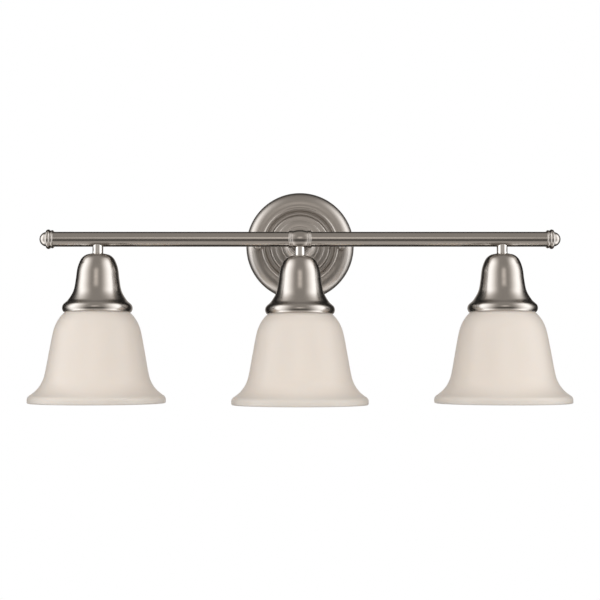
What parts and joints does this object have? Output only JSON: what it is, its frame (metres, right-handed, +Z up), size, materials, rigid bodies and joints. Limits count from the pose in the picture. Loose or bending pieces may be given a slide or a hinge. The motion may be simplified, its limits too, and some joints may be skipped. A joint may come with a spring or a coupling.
{
  "type": "vanity light bar",
  "caption": "Wall-mounted vanity light: a horizontal tube with ball-end finials on a round stepped canopy, carrying bell-shaped opal glass shades that open downwards.",
  "frame": {"origin": "middle of the mounting strap's back face, on the wall plane, behind the middle of the round canopy", "axes": "+X along the bar, +Y into the wall (the front faces -Y), +Z up"},
  "size_m": [0.6866, 0.1918, 0.2823],
  "materials": {
    "brushed_nickel": "satin brushed nickel plate, slightly warm",
    "polished_nickel": "polished",
    "opal_glass": "satin etched opal white",
    "bulb_frosted_glass": "soft white frosted",
    "clear_glass": "clear",
    "bulb_shell": "drawn, bright",
    "bulb_insulator": "black glass, glossy",
    "bulb_solder": "dull solder",
    "porcelain": "white glaze",
    "socket_brass": "bright",
    "ring_plastic": "white phenolic",
    "zinc_steel": "zinc plated",
    "green_screw": "green dye over zinc",
    "bare_copper": "bare copper",
    "gasket_foam": "closed cell foam",
    "black_insulation": "lead insulation",
    "white_insulation": "lead insulation",
    "wire_nut_plastic": "moulded, ribbed"
  },
  "bodies": {
    "root": {"wall_gasket": "gasket_foam", "mounting_strap": "zinc_steel", "canopy_studs": "zinc_steel", "stud_nuts": "zinc_steel", "arm_lock_nut": "zinc_steel", "arm_lock_washer": "zinc_steel", "arm_pipe": "zinc_steel", "neck_pipes": "zinc_steel", "neck_nuts": "zinc_steel", "fitter_nuts": "zinc_steel", "ground_screw": "green_screw", "canopy": "brushed_nickel", "ball_nuts": "brushed_nickel", "arm_flange": "brushed_nickel", "arm_tube": "brushed_nickel", "centre_coupling": "brushed_nickel", "bar_tube_left": "brushed_nickel", "bar_tube_right": "brushed_nickel", "end_finial_left": "brushed_nickel", "end_finial_right": "brushed_nickel", "hot_leads": "black_insulation", "neutral_leads": "white_insulation", "ground_lead": "bare_copper", "wire_nuts": "wire_nut_plastic", "neck_sleeve_left": "polished_nickel", "fitter_cup_left": "brushed_nickel", "socket_body_left": "porcelain", "screw_shell_left": "socket_brass", "socket_contact_left": "socket_brass", "neck_sleeve_centre": "polished_nickel", "fitter_cup_centre": "brushed_nickel", "socket_body_centre": "porcelain", "screw_shell_centre": "socket_brass", "socket_contact_centre": "socket_brass", "neck_sleeve_right": "polished_nickel", "fitter_cup_right": "brushed_nickel", "socket_body_right": "porcelain", "screw_shell_right": "socket_brass", "socket_contact_right": "socket_brass"},
    "shade_left": {"glass_shade_left": "opal_glass"},
    "ring_left": {"shade_ring_left": "ring_plastic"},
    "bulb_left": {"bulb_glass_left": "bulb_frosted_glass", "bulb_base_left": "bulb_shell", "bulb_insulator_left": "bulb_insulator", "bulb_contact_left": "bulb_solder", "bulb_stem_left": "clear_glass"},
    "shade_centre": {"glass_shade_centre": "opal_glass"},
    "ring_centre": {"shade_ring_centre": "ring_plastic"},
    "bulb_centre": {"bulb_glass_centre": "bulb_frosted_glass", "bulb_base_centre": "bulb_shell", "bulb_insulator_centre": "bulb_insulator", "bulb_contact_centre": "bulb_solder", "bulb_stem_centre": "clear_glass"},
    "shade_right": {"glass_shade_right": "opal_glass"},
    "ring_right": {"shade_ring_right": "ring_plastic"},
    "bulb_right": {"bulb_glass_right": "bulb_frosted_glass", "bulb_base_right": "bulb_shell", "bulb_insulator_right": "bulb_insulator", "bulb_contact_right": "bulb_solder", "bulb_stem_right": "clear_glass"}
  },
  "joints": [
    {"name": "shade_drop_left", "type": "slide", "parent": "root", "child": "shade_left", "axis": [0, 0, -1], "range_m": [0, 0.0078]},
    {"name": "ring_turn_left", "type": "hinge", "parent": "shade_left", "child": "ring_left", "pos_m": [-0.2565, -0.105, -0.08812], "axis": [0, 0, -1], "range_deg": [0, 1080]},
    {"name": "bulb_unscrew_left", "type": "slide", "parent": "root", "child": "bulb_left", "axis": [0, 0, -1], "range_m": [0, 0.16]},
    {"name": "shade_drop_centre", "type": "slide", "parent": "root", "child": "shade_centre", "axis": [0, 0, -1], "range_m": [0, 0.0078]},
    {"name": "ring_turn_centre", "type": "hinge", "parent": "shade_centre", "child": "ring_centre", "pos_m": [0, -0.105, -0.0904], "axis": [0, 0, -1], "range_deg": [0, 1080]},
    {"name": "bulb_unscrew_centre", "type": "slide", "parent": "root", "child": "bulb_centre", "axis": [0, 0, -1], "range_m": [0, 0.16]},
    {"name": "shade_drop_right", "type": "slide", "parent": "root", "child": "shade_right", "axis": [0, 0, -1], "range_m": [0, 0.0078]},
    {"name": "ring_turn_right", "type": "hinge", "parent": "shade_right", "child": "ring_right", "pos_m": [0.2565, -0.105, -0.08812], "axis": [0, 0, -1], "range_deg": [0, 1080]},
    {"name": "bulb_unscrew_right", "type": "slide", "parent": "root", "child": "bulb_right", "axis": [0, 0, -1], "range_m": [0, 0.16]}
  ],
  "couplings": [
    {"joint": "shade_drop_left", "follows": "ring_turn_left", "m_per_rad": 0.0004138},
    {"joint": "shade_drop_centre", "follows": "ring_turn_centre", "m_per_rad": 0.0004138},
    {"joint": "shade_drop_right", "follows": "ring_turn_right", "m_per_rad": 0.0004138}
  ]
}
